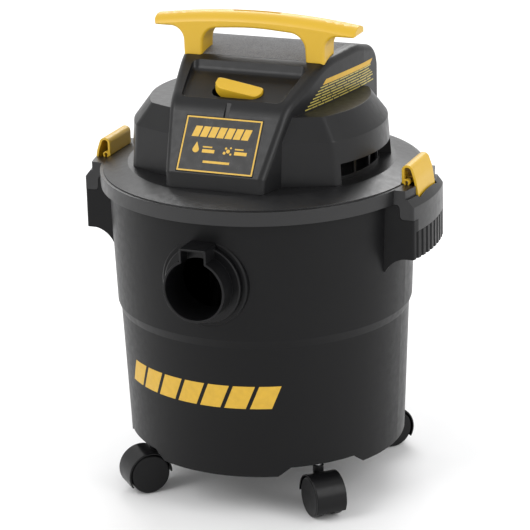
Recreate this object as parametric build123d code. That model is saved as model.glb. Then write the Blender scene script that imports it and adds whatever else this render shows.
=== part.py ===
"""Small wet and dry shop vacuum: a five-gallon tank on four twin-wheel casters, under a motor head.

Millimetres. +Z is up, the floor is z = 0, and the tank's axis is x = y = 0.
The inlet port, the switch and the front plate face -Y. The latches and carrying ears are at -X and +X.
"""

from build123d import *
import math
import os

os.makedirs("parts", exist_ok=True)

# ---------------------------------------------------------------- driving dimensions
RUNNING_GAP = 0.05  # radial clearance of a shaft in its bore
BODY_GAP = 0.3  # clearance between pieces that move past each other

LID_RADIUS = 165.0
LID_SKIRT_LOW, LID_EDGE_TOP, DECK_TOP = 318.0, 332.5, 340.0
LID_THICKNESS = 3.0
DECK_RADIUS = 136.5
SKIRT_INSIDE_RADIUS = 161.9

TANK_WALL = 2.5
SKIRT_BOTTOM, TANK_FLOOR_LOW, TANK_FLOOR_TOP = 48.0, 60.0, 63.0
STEP_LOW, STEP_HIGH, RIM_LOW, RIM_TOP = 187.0, 196.0, 319.0, 325.0
BOTTOM_RADIUS, STEP_LOW_RADIUS, STEP_HIGH_RADIUS, RIM_RADIUS = 143.0, 148.7, 151.9, 156.2
RIM_BEAD_RADIUS = 160.4

EAR_RADIUS, EAR_HALF_WIDTH = 184.0, 46.5
EAR_LOW, EAR_RIB_TOP, EAR_TOP = 262.0, 290.0, 302.5
EAR_TAB_HALF_WIDTH = 37.5
EAR_TAB_THICKNESS = 2.6
EAR_WALL = 2.6
RIB_PITCH, RIB_COUNT = 10.0, 9

PORT_HEIGHT, PORT_BORE_RADIUS, PORT_RADIUS = 255.0, 29.8, 32.2
PORT_MOUTH, PORT_INNER_END = 181.5, 138.0
PORT_FLANGE_RADIUS, PORT_FLANGE_BACK, PORT_FLANGE_FRONT = 40.0, 156.5, 160.5
PORT_BOSS_RADIUS, PORT_BOSS_FRONT, PORT_BOSS_BACK = 45.0, 155.0, 145.0

CASTER_PITCH_RADIUS, CASTER_TRAIL = 128.0, 11.0
WHEEL_RADIUS, WHEEL_WIDTH = 21.0, 10.3
HOOD_RADIUS, HOOD_WIDTH, HOOD_WEB = 23.6, 32.4, 10.4
STEM_RADIUS, STEM_LOW, STEM_TOP = 3.5, 27.0, 67.0
NECK_RADIUS, NECK_TOP, SOCKET_LOW, SOCKET_RADIUS = 5.6, 50.0, 50.6, 8.0

WELL_RADIUS, WELL_FLOOR_LOW = 72.0, 283.0
INTAKE_RADIUS = 24.0

COVER_WALL = 2.8
SHOULDER_CORNER_RADIUS = 12.0
LOUVRE_START, LOUVRE_END = -31.5, 23.0  # degrees from the +X axis towards +Y
LOUVRE_TOP = 361.0
LOUVRE_DEPTH = 12.0

LABEL_LOW = (-124.4, 355.5)  # (y, z) of the lower end of the flat front
LABEL_HIGH = (-82.0, 417.1)  # (y, z) of its upper end
LABEL_WIDTH, LABEL_HEIGHT, LABEL_PLATE = 81.0, 58.0, 1.2
LABEL_FROM_LOW = 30.6  # from the flat front's lower end to the middle of the plate

SWITCH_Y, SWITCH_Z, SWITCH_SLOPE = -57.5, 421.2, 22.0

PIVOT_X, PIVOT_Z, LATCH_HALF_WIDTH = 163.7, 334.6, 25.3
PIN_RADIUS = 1.65
SLOT_HALF_WIDTH, SLOT_OUTER_X, SLOT_INNER_X = 26.8, 178.0, 165.4

HANDLE_Y, HANDLE_DEPTH = -2.0, 30.0
HANDLE_TOP, HANDLE_HALF_LENGTH = 491.5, 108.0
HANDLE_ARCH_DROP, HANDLE_ARCH_HALF = 9.0, 114.0
LEG_INNER_X, LEG_OUTER_X, WING_LOW = 55.0, 76.0, 473.8

SHAFT_RADIUS = 4.0


# ---------------------------------------------------------------- helpers
def ring(outer, inner, low, high):
    """A plain ring about Z."""
    body = Pos(0, 0, low) * extrude(Circle(outer), high - low)
    return body - Pos(0, 0, low) * extrude(Circle(inner), high - low)


def disc(radius, low, high):
    return Pos(0, 0, low) * extrude(Circle(radius), high - low)


def turned(*points):
    """A solid of revolution about Z from a closed outline of (radius, height) points."""
    return revolve(Plane.XZ * make_face(Polyline(*points, close=True)), axis=Axis.Z)


def block(low, high):
    """A box from its lowest corner to its highest."""
    size = [b - a for a, b in zip(low, high)]
    middle = [(a + b) / 2 for a, b in zip(low, high)]
    return Pos(*middle) * Box(*size)


def along_y(radius, start, end, x=0.0, z=0.0):
    """A round bar parallel to Y."""
    return Pos(x, (start + end) / 2, z) * Rot(90, 0, 0) * Cylinder(radius, abs(end - start))


def around(count, make, start=0.0):
    """Copies of one solid, evenly spaced about Z, as one group."""
    return [Rot(0, 0, start + 360.0 * i / count) * make for i in range(count)]


def save(name, shape):
    """Write one named piece, or one group of identical pieces, as its own STEP file."""
    solids = shape if isinstance(shape, list) else shape.solids()
    body = solids[0] if len(solids) == 1 else Compound(children=[Solid(s.wrapped) for s in solids])
    body.label = name
    export_step(body, f"parts/{name}.step")


# ---------------------------------------------------------------- tank
def tank_wall_radius(z):
    """Outer radius of the tank's lower wall at a height below the step."""
    share = (z - SKIRT_BOTTOM) / (STEP_LOW - SKIRT_BOTTOM)
    return BOTTOM_RADIUS + share * (STEP_LOW_RADIUS - BOTTOM_RADIUS)


def tank_shell():
    return turned(
        (0, TANK_FLOOR_TOP),
        (tank_wall_radius(TANK_FLOOR_TOP) - TANK_WALL, TANK_FLOOR_TOP),
        (STEP_LOW_RADIUS - TANK_WALL, STEP_LOW),
        (STEP_HIGH_RADIUS - TANK_WALL, STEP_HIGH),
        (RIM_RADIUS - TANK_WALL, RIM_TOP),
        (RIM_BEAD_RADIUS, RIM_TOP),
        (RIM_BEAD_RADIUS, RIM_LOW),
        (RIM_RADIUS, RIM_LOW),
        (STEP_HIGH_RADIUS, STEP_HIGH),
        (STEP_LOW_RADIUS, STEP_LOW),
        (BOTTOM_RADIUS, SKIRT_BOTTOM),
        (BOTTOM_RADIUS - TANK_WALL, SKIRT_BOTTOM),
        (tank_wall_radius(TANK_FLOOR_LOW) - TANK_WALL, TANK_FLOOR_LOW),
        (0, TANK_FLOOR_LOW),
    )


def skirt_notch():
    """The slant-ended notch in the tank's skirt over one caster, cut along +X."""
    bottom_half, top_half, height = 46.8, 34.6, 9.0
    outline = Polyline(
        (-bottom_half - 1, -1), (-bottom_half, 0), (-top_half, height),
        (top_half, height), (bottom_half, 0), (bottom_half + 1, -1), close=True,
    )
    return Pos(110, 0, SKIRT_BOTTOM) * extrude(Plane.YZ * make_face(outline), 60)


def caster_socket():
    """Boss through the tank's floor that holds one caster stem, on the +X axis."""
    low = disc(SOCKET_RADIUS, SOCKET_LOW, TANK_FLOOR_LOW + 0.5)
    high = disc(SOCKET_RADIUS, TANK_FLOOR_TOP - 0.5, STEM_TOP + 4)
    high = chamfer(high.edges().group_by(Axis.Z)[-1], 2)
    return Pos(CASTER_PITCH_RADIUS, 0, 0) * (low + high)


def ear_sector(outer, inner, half_width, low, high):
    """Part of a ring on the +X side, between two planes parallel to X."""
    return ring(outer, inner, low, high) & block((100, -half_width, low), (200, half_width, high))


def tank_ear():
    """Hollow carrying ear on the +X side, open underneath, with a ribbed outer face."""
    inside_wall = 153.4
    ear = ear_sector(EAR_RADIUS, inside_wall, EAR_HALF_WIDTH, EAR_LOW, EAR_TOP)
    corners = [e for e in ear.edges().filter_by(Axis.Z) if e.center().X > 165]
    ear = fillet(corners, 3)
    tab_inner = EAR_RADIUS - EAR_TAB_THICKNESS - BODY_GAP
    ear -= ear_sector(EAR_RADIUS + 2, tab_inner, EAR_TAB_HALF_WIDTH + BODY_GAP, EAR_RIB_TOP, EAR_TOP + 1)
    plate_low = EAR_TOP - 3
    pocket_radius = tab_inner - 2.4
    ear -= ear_sector(pocket_radius, 120, EAR_HALF_WIDTH - EAR_WALL, EAR_LOW - 1, plate_low)
    ear -= block((158.4, -SLOT_HALF_WIDTH, plate_low - 1), (SLOT_OUTER_X - 0.8, SLOT_HALF_WIDTH, EAR_TOP + 1))
    groove_radius, groove_depth = 2.6, 1.4
    for i in range(RIB_COUNT):
        angle = math.degrees((i - (RIB_COUNT - 1) / 2) * RIB_PITCH / EAR_RADIUS)
        groove = Pos(EAR_RADIUS + groove_radius - groove_depth, 0, 0) * disc(groove_radius, EAR_LOW - 1, EAR_RIB_TOP)
        ear -= Rot(0, 0, angle) * groove
    return ear


def ear_step(gap):
    """The S-shaped end web by which the tank's ear rises beside the lid's skirt, or the room that it needs."""
    low, top, inner_x = EAR_TOP - 1, LID_SKIRT_LOW - 0.6 + gap, 148.5
    bend = Spline((159.5 + gap, top), (163.5 + gap, 309.5 + gap), (167.5 + gap, EAR_TOP + gap),
                  tangents=[(1, 0), (1, 0)])
    edges = [Polyline((167.5 + gap, EAR_TOP + gap), (167.5 + gap, low), (inner_x, low), (inner_x, top),
                      (159.5 + gap, top)), bend]
    web = extrude(Plane.XZ * make_face(Curve() + edges), EAR_WALL + 2 * gap)
    webs = Pos(0, EAR_HALF_WIDTH + gap, 0) * web
    return webs + Pos(0, EAR_WALL - EAR_HALF_WIDTH + gap, 0) * web


def ear_gussets():
    """Two webs that carry the ear's end walls down onto the tank."""
    inner_x, wall_x, low = 146.5, 148.5, EAR_LOW - 15
    edges = [Polyline((wall_x, low), (inner_x, low), (inner_x, EAR_LOW + 1), (168, EAR_LOW + 1), (168, EAR_LOW)),
             ThreePointArc((168, EAR_LOW), (156.5, EAR_LOW - 5), (wall_x, low))]
    web = extrude(Plane.XZ * make_face(Curve() + edges), EAR_WALL)
    near = Pos(0, EAR_HALF_WIDTH, 0) * web
    far = Pos(0, EAR_WALL - EAR_HALF_WIDTH, 0) * web
    clear_of_inside = disc(151.8, EAR_LOW - 20, EAR_LOW + 5)
    return (near - clear_of_inside) + (far - clear_of_inside)


def tank():
    body = tank_shell()
    for angle in (45, 135, 225, 315):
        body += Rot(0, 0, angle) * caster_socket()
    for angle in (45, 135, 225, 315):
        body -= Rot(0, 0, angle) * skirt_notch()
        bore = disc(STEM_RADIUS, SOCKET_LOW - 1, STEM_TOP)
        body -= Rot(0, 0, angle) * Pos(CASTER_PITCH_RADIUS, 0, 0) * bore
    for angle in (0, 180):
        body += Rot(0, 0, angle) * tank_ear()
        body += Rot(0, 0, angle) * ear_gussets()
        body += Rot(0, 0, angle) * ear_step(0)
    boss = along_y(PORT_BOSS_RADIUS, -PORT_BOSS_BACK, -PORT_BOSS_FRONT, z=PORT_HEIGHT)
    boss = chamfer(boss.edges().group_by(Axis.Y)[0], 1.5)
    body += boss
    body -= along_y(PORT_RADIUS + 0.1, -130, -170, z=PORT_HEIGHT)
    body -= along_y(PORT_FLANGE_RADIUS + 0.5, -PORT_BOSS_FRONT, -170, z=PORT_HEIGHT)
    return body


# ---------------------------------------------------------------- inlet port
def inlet_port():
    """Flanged tube with a raised keyway on top for a hose end's key."""
    key_half, key_top, key_wall = 12.0, PORT_HEIGHT + 40.5, 1.9
    tube = along_y(PORT_RADIUS, -PORT_INNER_END, -PORT_MOUTH, z=PORT_HEIGHT)
    flange = along_y(PORT_FLANGE_RADIUS, -PORT_FLANGE_BACK, -PORT_FLANGE_FRONT, z=PORT_HEIGHT)
    flange = chamfer(flange.edges().group_by(Axis.Y)[0], 1)
    key_box = block((-key_half - key_wall, -PORT_MOUTH, PORT_HEIGHT + 20),
                    (key_half + key_wall, -PORT_FLANGE_BACK, key_top + key_wall))
    upright = [e for e in key_box.edges().filter_by(Axis.Y) if e.center().Z > key_top]
    key_box = fillet(upright, 1.5)
    key_blind = 166.0
    keyway = block((-key_half, -PORT_MOUTH - 1, PORT_HEIGHT), (key_half, -key_blind, key_top))
    bore = along_y(PORT_BORE_RADIUS, -PORT_INNER_END + 1, -PORT_MOUTH - 1, z=PORT_HEIGHT)
    body = tube + flange + key_box - keyway - bore
    rim = [e for e in body.edges().filter_by(GeomType.CIRCLE) if e.center().Y < 1 - PORT_MOUTH]
    return fillet(rim, 0.7)


def inlet_gasket():
    outer = along_y(PORT_FLANGE_RADIUS - 1, -PORT_BOSS_FRONT, -PORT_FLANGE_BACK, z=PORT_HEIGHT)
    return outer - along_y(PORT_RADIUS + 0.2, -150, -160, z=PORT_HEIGHT)


def inlet_nut():
    """Ring nut that clamps the port from inside the tank, with six driving lugs."""
    back, front = 139.5, PORT_BOSS_BACK - 0.2
    nut = along_y(PORT_RADIUS + 5, -back, -front, z=PORT_HEIGHT)
    for i in range(6):
        lug = block((-4, -front, 34), (4, -back, 41))
        nut += Pos(0, 0, PORT_HEIGHT) * Rot(0, 60 * i, 0) * lug
    return nut - along_y(PORT_RADIUS + RUNNING_GAP, -130, -150, z=PORT_HEIGHT)


# ---------------------------------------------------------------- casters
def caster_hood():
    """Twin-wheel caster hood with its stem on Z at x = 0. The axle lies along Y, a trail away at +X."""
    centre = Pos(CASTER_TRAIL, 0, WHEEL_RADIUS)
    shell_inside = WHEEL_RADIUS + 0.9
    hood = centre * Rot(90, 0, 0) * Cylinder(HOOD_RADIUS, HOOD_WIDTH)
    hood = fillet(hood.edges().filter_by(GeomType.CIRCLE), 1.0)
    for side in (-1, 1):
        pocket_y = side * (HOOD_WEB + HOOD_WIDTH) / 2
        pocket = Pos(CASTER_TRAIL, pocket_y, WHEEL_RADIUS) * Rot(90, 0, 0) * Cylinder(shell_inside, HOOD_WIDTH)
        hood -= pocket
    open_sector = Polyline((0, 0), (-60, 0), (-60, -60), (60, -60), (60, -34.6), close=True)
    sector = centre * extrude(Plane.XZ * make_face(open_sector), HOOD_WIDTH, both=True)
    web_keep = centre * Rot(90, 0, 0) * Cylinder(WHEEL_RADIUS - 5, HOOD_WEB)
    neck = disc(NECK_RADIUS, WHEEL_RADIUS + 18, NECK_TOP) - centre * Rot(90, 0, 0) * Cylinder(shell_inside, 60)
    hood = (hood - sector) + web_keep + neck
    hood -= disc(STEM_RADIUS + RUNNING_GAP, STEM_LOW - BODY_GAP, NECK_TOP + 1)
    hood -= centre * Rot(90, 0, 0) * Cylinder(AXLE_RADIUS, 60)
    return hood


AXLE_RADIUS, AXLE_HALF_LENGTH = 2.5, 14.0


def caster_axle():
    bar = Cylinder(AXLE_RADIUS, 2 * AXLE_HALF_LENGTH)
    bar = chamfer(bar.edges(), 0.4)
    return Pos(CASTER_TRAIL, 0, WHEEL_RADIUS) * Rot(90, 0, 0) * bar


def caster_wheel():
    """One wheel on the +Y side of the hood's web, plain and round-edged on its outer face, with a blind bore."""
    inner_face = HOOD_WEB / 2 + BODY_GAP
    wheel = Cylinder(WHEEL_RADIUS, WHEEL_WIDTH)
    wheel = fillet(wheel.edges().group_by(Axis.Z)[-1], 2.6)
    wheel = fillet(wheel.edges().group_by(Axis.Z)[0], 0.8)
    recess = Pos(0, 0, -WHEEL_WIDTH / 2) * extrude(Circle(WHEEL_RADIUS - 4) - Circle(6), 4)
    bore_depth = AXLE_HALF_LENGTH - inner_face + BODY_GAP
    bore = Pos(0, 0, -WHEEL_WIDTH / 2) * extrude(Circle(AXLE_RADIUS + RUNNING_GAP), bore_depth)
    wheel = wheel - recess - bore
    outwards = Pos(CASTER_TRAIL, inner_face + WHEEL_WIDTH / 2, WHEEL_RADIUS) * Rot(-90, 0, 0)
    return outwards * wheel


def save_casters():
    """Four casters, each stem on the pitch circle and each trailing outwards."""
    hood, axle, wheel = caster_hood(), caster_axle(), caster_wheel()
    stem = disc(STEM_RADIUS, STEM_LOW, STEM_TOP - 0.5)
    stem = chamfer(stem.edges(), 0.4)
    places = {"front_right": -45, "rear_right": 45, "rear_left": 135, "front_left": 225}
    for name, angle in places.items():
        place = Rot(0, 0, angle) * Pos(CASTER_PITCH_RADIUS, 0, 0)
        save(f"caster_stem_{name}", place * stem)
        save(f"caster_hood_{name}", place * hood)
        save(f"caster_axle_{name}", place * axle)
        save(f"caster_wheel_a_{name}", place * wheel)
        save(f"caster_wheel_b_{name}", place * mirror(wheel, Plane.XZ))


# ---------------------------------------------------------------- lid
def lid_shell():
    """Skirt, sloping band, flat deck and the well that carries the motor."""
    ledge_width, ledge_drop = 3.5, 0.9
    rim_underside = RIM_TOP + 2.5
    locating_outer, locating_inner = RIM_RADIUS - TANK_WALL - 1.3, RIM_RADIUS - TANK_WALL - 3.8
    return turned(
        (INTAKE_RADIUS, WELL_FLOOR_LOW),
        (INTAKE_RADIUS, WELL_FLOOR_LOW + LID_THICKNESS),
        (WELL_RADIUS, WELL_FLOOR_LOW + LID_THICKNESS),
        (WELL_RADIUS, DECK_TOP),
        (DECK_RADIUS, DECK_TOP),
        (LID_RADIUS - ledge_width, LID_EDGE_TOP + ledge_drop),
        (LID_RADIUS - ledge_width, LID_EDGE_TOP),
        (LID_RADIUS, LID_EDGE_TOP),
        (LID_RADIUS - 0.6, LID_SKIRT_LOW),
        (SKIRT_INSIDE_RADIUS, LID_SKIRT_LOW),
        (SKIRT_INSIDE_RADIUS, rim_underside),
        (locating_outer, rim_underside),
        (locating_outer, LID_SKIRT_LOW - 2),
        (locating_inner, LID_SKIRT_LOW - 2),
        (locating_inner, rim_underside + 1),
        (DECK_RADIUS, DECK_TOP - LID_THICKNESS),
        (WELL_RADIUS + LID_THICKNESS, DECK_TOP - LID_THICKNESS),
        (WELL_RADIUS + LID_THICKNESS, WELL_FLOOR_LOW),
    )


def lid_ear():
    """Ear on the +X side: two blocks beside the latch slot, a sloped shelf and a tab over the tank's ear."""
    low, block_radius, shelf_height, shelf_inner = EAR_TOP + BODY_GAP, 176.0, 316.0, 178.0
    shelf = turned((166, low), (EAR_RADIUS, low), (EAR_RADIUS, shelf_height), (shelf_inner, 323.5), (166, 323.5))
    shelf = shelf & block((100, -EAR_HALF_WIDTH, low), (200, EAR_HALF_WIDTH, 330))
    ear = ear_sector(block_radius, 163, EAR_HALF_WIDTH, low, LID_EDGE_TOP) + shelf
    corners = [e for e in ear.edges().filter_by(Axis.Z) if e.center().X > 170 and abs(e.center().Y) > 40]
    ear = fillet(corners, 2.4)
    tab_inner = EAR_RADIUS - EAR_TAB_THICKNESS
    ear += ear_sector(EAR_RADIUS, tab_inner, EAR_TAB_HALF_WIDTH, EAR_RIB_TOP + BODY_GAP, low + 1)
    for side in (-1, 1):
        near, far = sorted((side * (SLOT_HALF_WIDTH + EAR_WALL), side * (EAR_HALF_WIDTH - EAR_WALL)))
        pocket = block((SLOT_INNER_X, near, low - 1), (block_radius, far, LID_EDGE_TOP - EAR_WALL))
        ear -= pocket & disc(block_radius - EAR_WALL, low - 2, LID_EDGE_TOP)
    return ear - ear_step(BODY_GAP)


def latch_posts(clearance=0.0):
    """Two posts in the slot that hold the latch's pin, or the space that they need."""
    posts = []
    for side in (-1, 1):
        near, far = sorted((side * (15 - clearance), side * (19 + clearance)))
        low = (161.3 - 4 * clearance, near, 327.6)
        posts.append(block(low, (166.3 + 2 * clearance, far, 337.2 + 12 * clearance)))
    return posts[0] + posts[1]


def lid():
    body = lid_shell()
    for angle in (0, 180):
        turn = Rot(0, 0, angle)
        body += turn * (lid_ear() - disc(SKIRT_INSIDE_RADIUS, 280, 327.5))
        half = SLOT_HALF_WIDTH
        body -= turn * block((SLOT_INNER_X, -half, EAR_RIB_TOP - 5), (SLOT_OUTER_X, half, LID_EDGE_TOP + 2))
        body -= turn * block((158.0, -half, 330.7), (SLOT_OUTER_X, half, LID_EDGE_TOP + 3))
        body -= turn * block((150.0, -half, EAR_RIB_TOP - 5), (SLOT_OUTER_X, half, LID_SKIRT_LOW))
        body += turn * latch_posts()
        body -= turn * along_y(PIN_RADIUS, -21, 21, PIVOT_X, PIVOT_Z)
    for x, y in cover_screw_places():
        body -= Pos(x, y, 0) * disc(SCREW_CLEARANCE, DECK_TOP - 5, DECK_TOP + 1)
    return body


def latch():
    """Yellow lever on the +X side: a bent strip with an eye for its pin and a hook at its foot."""
    strip = 2.4
    centre_line = FilletPolyline(
        (160.0, 334.5), (160.0, 351.2), (168.0, 351.2), (172.6, 338.0), (175.1, 322.0), (174.4, 312.0), (174.4, 293.5),
        radius=[4.2, 5.0, 30.0, 14.0, 8.0],
    )
    outline = offset(centre_line, amount=strip / 2, side=Side.BOTH, closed=True)
    profile = make_face(outline.edges())
    eye = Pos(PIVOT_X, PIVOT_Z) * Circle(3.3)
    arm = Pos((160.0 + PIVOT_X) / 2, PIVOT_Z + 1.4) * Rectangle(PIVOT_X - 160.0, 3.4)
    nose = make_face(Polyline((174.0, 293.5), (175.6, 293.5), (176.8, 296.0), (176.8, 298.6), (174.0, 298.6), close=True))
    profile = profile + eye + arm + nose
    profile -= Pos(PIVOT_X, PIVOT_Z) * Circle(PIN_RADIUS + RUNNING_GAP)
    profile -= Pos(PIVOT_X, PIVOT_Z - 3) * Rectangle(2.2, 6)
    body = extrude(Plane.XZ * profile, LATCH_HALF_WIDTH, both=True)
    return body - latch_posts(clearance=0.5)


def latch_pin():
    pin = along_y(PIN_RADIUS, -20.8, 20.8, PIVOT_X, PIVOT_Z)
    return chamfer(pin.edges(), 0.3)


def lid_gasket():
    return ring(RIM_RADIUS + 2, RIM_RADIUS - TANK_WALL - 1, RIM_TOP + BODY_GAP, RIM_TOP + 2.5)


# ---------------------------------------------------------------- head cover
def spine_plan(inset):
    """The spine seen from above: it widens from the front plate to the back, with flared sides."""
    front, middle, rear, tail = (50.5, -127.0), (70.6, -48.6), (89.5, 60.0), (92.0, 96.0)
    back_middle = (0.0, 112.0)

    def flip(point):
        return (-point[0], point[1])

    edges = [
        ThreePointArc(front, middle, rear),
        Line(rear, tail),
        ThreePointArc(tail, back_middle, flip(tail)),
        Line(flip(tail), flip(rear)),
        ThreePointArc(flip(rear), flip(middle), flip(front)),
        Polyline(flip(front), (-front[0], front[1] - 8), (front[0], front[1] - 8), front),
    ]
    face = make_face(Curve() + edges)
    if inset:
        face = offset(face, -inset, kind=Kind.INTERSECTION)
    return extrude(Plane.XY.offset(300) * face, 180)


def spine_profile(inset):
    """The spine seen from the side: upright foot, flat sloping front, crowned top and steep back."""
    below = DECK_TOP - 20
    points = [(-127.0, below), LABEL_LOW, LABEL_HIGH, (-12.0, 449.5), (50.0, 452.0), (93.0, 441.0), (106.0, 392.0),
              (112.0, below)]
    side = FilletPolyline(*points, radius=[6, 42, 90, 60, 24, 60])
    face = make_face(Curve() + [side, Line(points[-1], points[0])])
    if inset:
        face = offset(face, -inset, kind=Kind.INTERSECTION)
    return extrude(Plane.YZ * face, 120, both=True)


def above_deck(body, margin=0.0):
    return body & block((-200, -200, DECK_TOP - margin), (200, 200, 500))


def spine(inset):
    body = above_deck(spine_profile(inset) & spine_plan(inset), margin=inset)
    edge_radius = 7.0 if not inset else 3.0
    long_edges = [e for e in body.edges() if e.center().Z > DECK_TOP + 2 and abs(e.center().X) > 45]
    return fillet(long_edges, edge_radius)


def shoulder_outline(front, cut_x):
    """Plan of the shoulders' angled faces: two in front, two behind, flat where the spine hides them."""
    reach, front_slope, back_slope = 150.0, 0.4375, 0.33
    back = front - 13.5
    right = [(cut_x, front_slope * cut_x - front), (reach, front_slope * reach - front),
             (reach, back - back_slope * reach), (cut_x, back - back_slope * cut_x)]
    left = [(-x, y) for x, y in reversed(right)]
    return make_face(Polyline(*right, *left, close=True))


def shoulders(inset):
    """The motor's side shoulders: steep walls under a wide chamfer, with a narrow flat top."""
    low, bend, high = DECK_TOP - inset, 384.0, 406.0 - inset
    radii = [131.5 - inset, 128.2 - inset, 111.5 - inset]
    cone = turned((0, low), (radii[0], low), (radii[1], bend), (radii[2], high), (0, high))
    outlines = [shoulder_outline(front - inset, cut_x) for front, cut_x in ((121.5, 56), (119.5, 56), (104.0, 50))]
    planes = [Plane.XY.offset(z) for z in (low, bend, high)]
    wall = loft([planes[0] * outlines[0], planes[1] * outlines[1]], ruled=True)
    slope = loft([planes[1] * outlines[1], planes[2] * outlines[2]], ruled=True)
    body = cone & (wall + slope)
    corners = [e for e in body.edges() if abs(e.center().X) > 80 and is_upright(e)]
    return fillet(corners, SHOULDER_CORNER_RADIUS - inset)


def is_upright(edge):
    """True of an edge that climbs more than it runs sideways."""
    size = edge.bounding_box().size
    return size.Z > 0.5 * math.hypot(size.X, size.Y)


def louvre_sector(outer, inner, low, high, start, end):
    """A piece of a ring between two angles, on the +X side."""
    span = end - start
    face = Plane.XZ * make_face(Polyline((inner, low), (outer, low), (outer, high), (inner, high), close=True))
    return Rot(0, 0, start) * revolve(face, axis=Axis.Z, revolution_arc=span)


def on_both_sides(body):
    return [body, mirror(body, Plane.YZ)]


def louvre_alcove(grow):
    back = 131.5 - LOUVRE_DEPTH - grow
    extra = math.degrees(grow / 125.0)
    return louvre_sector(150, back, DECK_TOP - 5, LOUVRE_TOP + grow, LOUVRE_START - extra, LOUVRE_END + extra)


def louvre_gaps():
    """Openings between the fins at the back of one alcove."""
    count, fin_degrees = 4, 1.6
    step = (LOUVRE_END - LOUVRE_START - fin_degrees) / count
    gaps = []
    for i in range(count):
        start = LOUVRE_START + fin_degrees + i * step
        gaps.append(louvre_sector(125, 110, DECK_TOP + 4, LOUVRE_TOP - 3, start, start + step - fin_degrees))
    return gaps


def scoop():
    """The bowl around the switch, between the two side ribs of the spine."""
    points = [(-80.0, 440.0), (-77.5, 415.0), (-28.0, 434.0), (-14.0, 470.0)]
    floor = FilletPolyline(*points, radius=[6, 9])
    prism = extrude(Plane.YZ * make_face(Curve() + [floor, Line(points[-1], points[0])]), 80, both=True)
    plan = make_face(Polyline((-52.0, -86.0), (52.0, -86.0), (64.0, -10.0), (-64.0, -10.0), close=True))
    bowl = prism & extrude(Plane.XY.offset(400) * plan, 80)
    lower = [e for e in bowl.edges() if e.center().Z < 460 and abs(e.center().X) > 40]
    return fillet(lower, 6)


def switch_plane():
    return Plane(origin=(0, SWITCH_Y, SWITCH_Z), x_dir=(1, 0, 0),
                 z_dir=(0, -math.sin(math.radians(SWITCH_SLOPE)), math.cos(math.radians(SWITCH_SLOPE))))


def label_plane(lift=0.0):
    dy, dz = LABEL_HIGH[0] - LABEL_LOW[0], LABEL_HIGH[1] - LABEL_LOW[1]
    length = math.hypot(dy, dz)
    share = LABEL_FROM_LOW / length
    normal = (0, -dz / length, dy / length)
    origin = (0, LABEL_LOW[0] + share * dy + lift * normal[1], LABEL_LOW[1] + share * dz + lift * normal[2])
    return Plane(origin=origin, x_dir=(1, 0, 0), z_dir=normal)


def drain_groove():
    """Channel that lets water run out of the scoop towards the front plate."""
    groove = extrude(Plane.XY.offset(-1.8) * SlotOverall(26, 5.0, rotation=90), 8)
    return label_plane() * Pos(0, LABEL_HEIGHT / 2 + 9, 0) * groove


SCREW_CLEARANCE, SCREW_THREAD = 2.2, 1.6
HANDLE_SCREW_X = 65.5
POST_TOP, POST_RIB_FRONT, POST_RIB_BACK = 364.0, -79.0, 75.4


def cover_screw_places():
    return [(x, y) for x in (-92, 92) for y in (-62, 62)]


def head_cover():
    outer = spine(0) + shoulders(0)
    inner = spine(COVER_WALL) + shoulders(COVER_WALL)
    for cut in on_both_sides(louvre_alcove(COVER_WALL)):
        inner -= cut
    for cut in on_both_sides(louvre_alcove(0)):
        outer -= cut
    bowl = scoop()
    inner -= Pos(0, 0, -COVER_WALL) * bowl + Pos(0, 0, -COVER_WALL / 2) * bowl
    body = outer - bowl - inner
    for x, y in cover_screw_places():
        low_y, high_y = sorted((y, POST_RIB_BACK if y > 0 else POST_RIB_FRONT))
        body += Pos(x, y, 0) * disc(4.5, DECK_TOP, POST_TOP)
        body += block((x - 1, low_y, DECK_TOP), (x + 1, high_y, POST_TOP))
        body -= Pos(x, y, 0) * disc(SCREW_THREAD, DECK_TOP - 1, DECK_TOP + 18)
    for gap in louvre_gaps():
        for cut in on_both_sides(gap):
            body -= cut
    slot = extrude(Plane.XY.offset(-12) * SlotOverall(54, 21), 30)
    body -= switch_plane() * slot
    body -= drain_groove()
    body -= label_plane() * extrude(Plane.XY.offset(-0.6) * Rectangle(LABEL_WIDTH + 0.4, LABEL_HEIGHT + 0.4), 5)
    for x in (-HANDLE_SCREW_X, HANDLE_SCREW_X):
        body -= Pos(x, HANDLE_Y, 0) * disc(SCREW_CLEARANCE, 425, 470)
    body -= along_y(BLOWER_RADIUS, 90, 130, z=BLOWER_HEIGHT)
    body -= along_y(GLAND_RADIUS, 90, 130, GLAND_X, GLAND_Z)
    return body


BLOWER_HEIGHT, BLOWER_RADIUS, BLOWER_BORE = 388.0, 26.0, 23.0
GLAND_X, GLAND_Z, GLAND_RADIUS = 52.0, 354.0, 7.0


def blower_port():
    """Round outlet at the back of the head, where the hose fits to blow."""
    tube = along_y(BLOWER_RADIUS - 0.1, 100, 132, z=BLOWER_HEIGHT)
    collar = along_y(BLOWER_RADIUS + 4, 112.5, 116, z=BLOWER_HEIGHT)
    body = tube + collar - along_y(BLOWER_BORE, 99, 133, z=BLOWER_HEIGHT)
    return fillet(body.edges().group_by(Axis.Y)[-1], 0.8)


def cord_gland():
    """Empty bush at the back that the mains lead would pass through."""
    bush = along_y(GLAND_RADIUS - 0.1, 98, 112, GLAND_X, GLAND_Z)
    head = along_y(GLAND_RADIUS + 2.5, 109.5, 113.5, GLAND_X, GLAND_Z)
    head = fillet(head.edges().group_by(Axis.Y)[-1], 1.5)
    return bush + head - along_y(4.2, 90, 120, GLAND_X, GLAND_Z)


def badge_plate():
    plate = extrude(RectangleRounded(LABEL_WIDTH, LABEL_HEIGHT, 1.2), LABEL_PLATE)
    plate = chamfer(plate.edges().group_by(Axis.Z)[-1], 0.3)
    return label_plane(-0.6) * plate


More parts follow.
